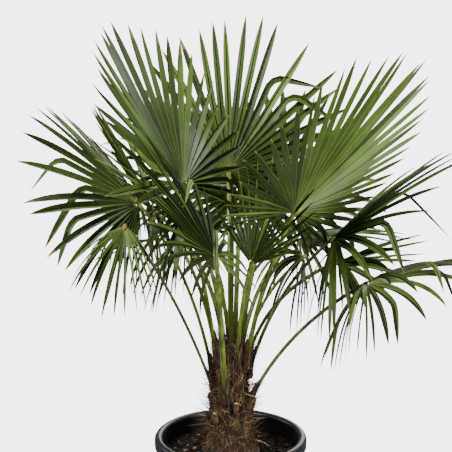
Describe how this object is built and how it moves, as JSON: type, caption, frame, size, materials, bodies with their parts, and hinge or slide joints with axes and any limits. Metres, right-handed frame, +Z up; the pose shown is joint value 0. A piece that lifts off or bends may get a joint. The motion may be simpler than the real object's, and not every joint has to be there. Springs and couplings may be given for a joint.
{
  "type": "potted windmill palm",
  "caption": "Young windmill palm: pleated fan leaves on long stalks above a short fibrous trunk, in a round dark nursery pot of bark mix. Decorative foliage.",
  "frame": {"origin": "middle of the pot's flat underside, which the plant stands on", "axes": "+Z up; the picture looks along +Y, so +X is to the right in it"},
  "size_m": [1.1786, 1.1645, 1.446],
  "materials": {
    "pot_plastic": "satin near-black moulded plastic",
    "potting_mix": "dark brown bark mix, rough",
    "trunk_fibre": "rough dark brown fibre and old leaf bases",
    "green_stalk": "olive to yellow-green leaf stalk, slightly glossy",
    "cut_stalk": "dry tan cut stalk",
    "green_leaf": "mid to dark green leaf, satin"
  },
  "bodies": {
    "root": {"pot": "pot_plastic", "soil": "potting_mix", "trunk": "trunk_fibre", "spear_leaf": "green_leaf", "stalk_stub_1": "cut_stalk", "stalk_stub_2": "cut_stalk", "stalk_stub_3": "cut_stalk", "stalk_stub_4": "cut_stalk", "petiole_01": "green_stalk", "petiole_02": "green_stalk", "petiole_03": "green_stalk", "petiole_04": "green_stalk", "petiole_05": "green_stalk", "petiole_06": "green_stalk", "petiole_07": "green_stalk", "petiole_08": "green_stalk", "petiole_09": "green_stalk", "petiole_10": "green_stalk", "petiole_11": "green_stalk", "petiole_12": "green_stalk", "petiole_13": "green_stalk", "petiole_14": "green_stalk", "petiole_15": "green_stalk", "petiole_16": "green_stalk", "petiole_17": "green_stalk", "petiole_18": "green_stalk", "frond_01": "green_leaf", "frond_02": "green_leaf", "frond_03": "green_leaf", "frond_04": "green_leaf", "frond_05": "green_leaf", "frond_06": "green_leaf", "frond_07": "green_leaf", "frond_08": "green_leaf", "frond_09": "green_leaf", "frond_10": "green_leaf", "frond_11": "green_leaf", "frond_12": "green_leaf", "frond_13": "green_leaf", "frond_14": "green_leaf", "frond_15": "green_leaf", "frond_16": "green_leaf", "frond_17": "green_leaf", "frond_18": "green_leaf"}
  },
  "joints": []
}
